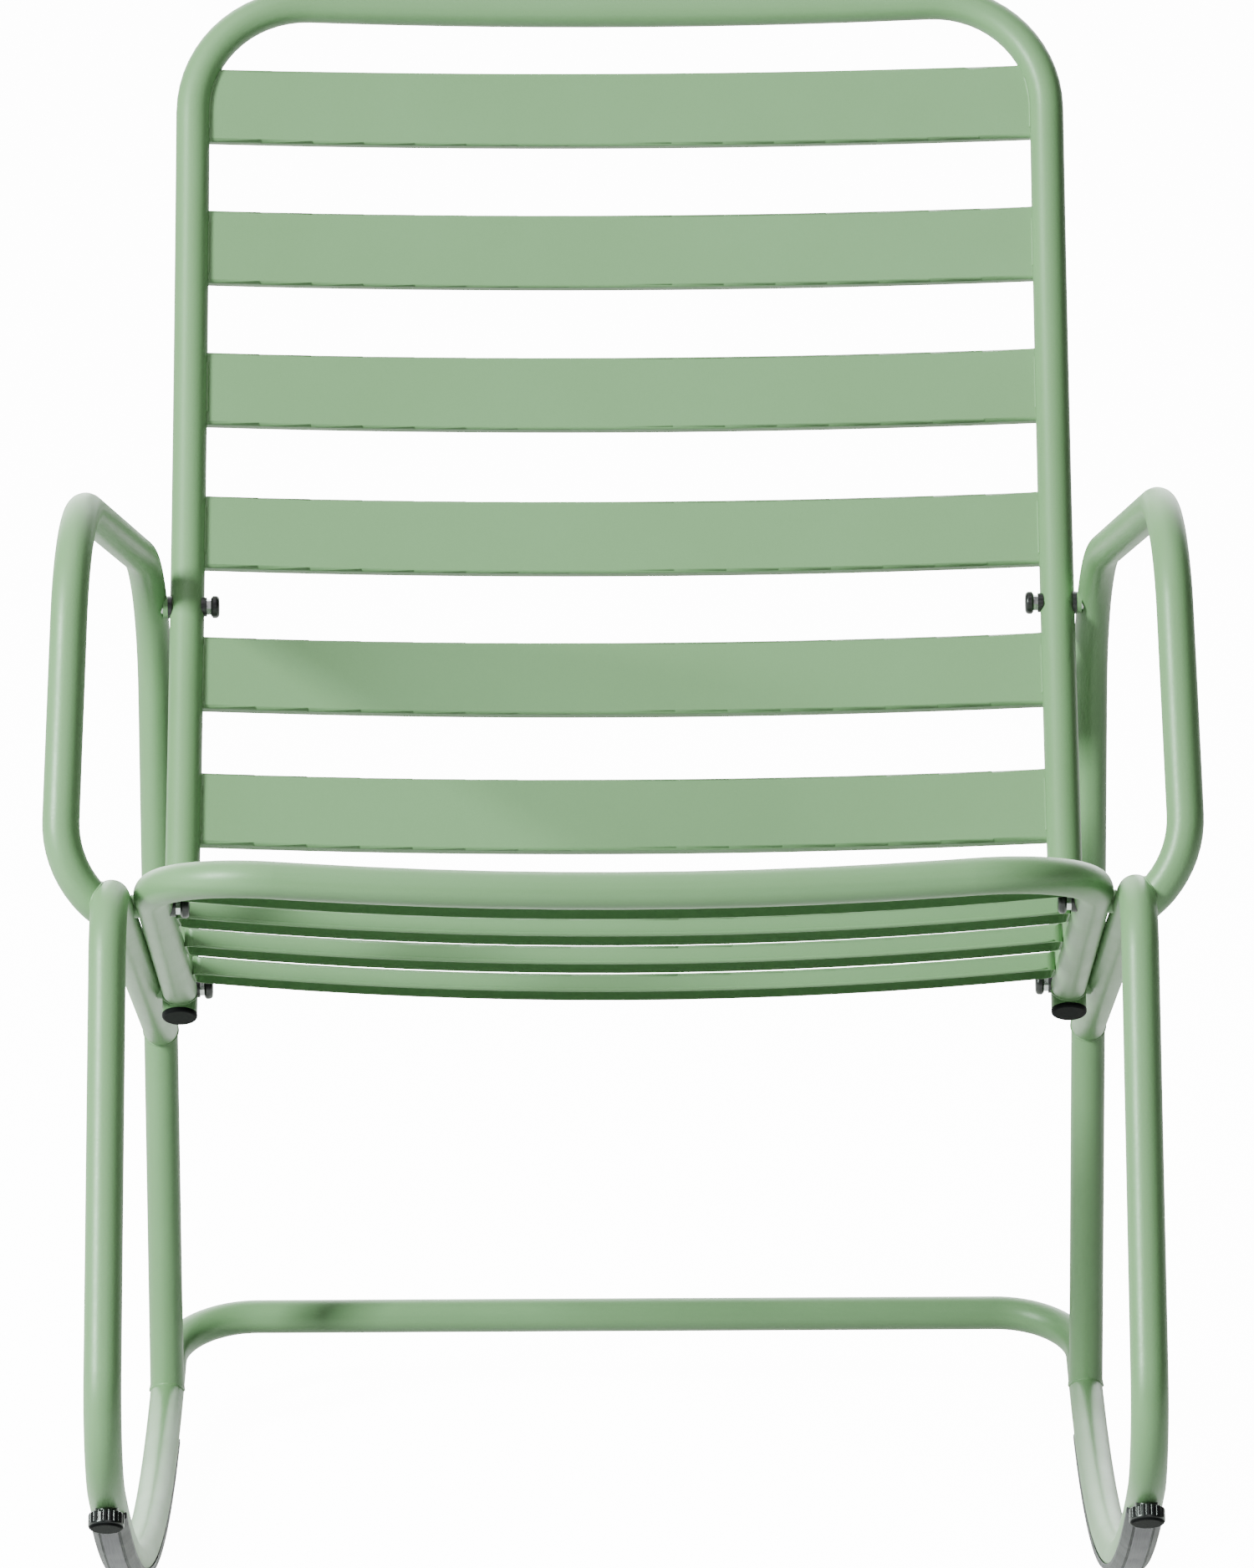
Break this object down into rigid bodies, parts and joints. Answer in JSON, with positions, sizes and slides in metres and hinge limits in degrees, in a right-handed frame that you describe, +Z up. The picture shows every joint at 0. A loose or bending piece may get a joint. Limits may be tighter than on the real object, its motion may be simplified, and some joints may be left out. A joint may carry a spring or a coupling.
{
  "type": "metal rocking chair",
  "caption": "Slatted metal rocking chair: bent round tube frames, pressed steel seat and back slats, tube arms and curved rockers with clip-on glide strips and front bumpers.",
  "frame": {"origin": "on the floor under the centre of the chair's bounding box, in the pose in which the empty chair balances on its rockers", "axes": "+Z up, -Y towards the front of the chair, +X to the sitter's left (the right-hand side seen from the front)"},
  "size_m": [0.6796, 0.9096, 0.9275],
  "materials": {
    "green_coat": "satin sage-green powder coat over steel",
    "black_plastic": "moulded black plastic, slightly glossy",
    "grey_strip": "extruded mid-grey plastic",
    "zinc_hardware": "bright zinc-plated steel"
  },
  "bodies": {
    "root": {"back_frame_tube": "green_coat", "back_saddle_pads": "black_plastic", "back_slat_1": "green_coat", "back_slat_2": "green_coat", "back_slat_3": "green_coat", "back_slat_4": "green_coat", "back_slat_5": "green_coat", "back_slat_6": "green_coat", "back_spacers": "green_coat", "bolt_caps": "black_plastic", "bolt_washers": "black_plastic", "frame_bolts": "zinc_hardware", "left_arm_rear_leg_tube": "green_coat", "left_back_tube_plug": "black_plastic", "left_front_bumper": "black_plastic", "left_glide_strip": "grey_strip", "left_rocker_leg_tube": "green_coat", "rear_stretcher_tube": "green_coat", "right_arm_rear_leg_tube": "green_coat", "right_back_tube_plug": "black_plastic", "right_front_bumper": "black_plastic", "right_glide_strip": "grey_strip", "right_rocker_leg_tube": "green_coat", "seat_frame_tube": "green_coat", "seat_front_spacers": "green_coat", "seat_rear_spacers": "green_coat", "seat_slat_1": "green_coat", "seat_slat_2": "green_coat", "seat_slat_3": "green_coat", "seat_slat_4": "green_coat", "stretcher_screws": "zinc_hardware", "threaded_inserts": "zinc_hardware"}
  },
  "joints": []
}
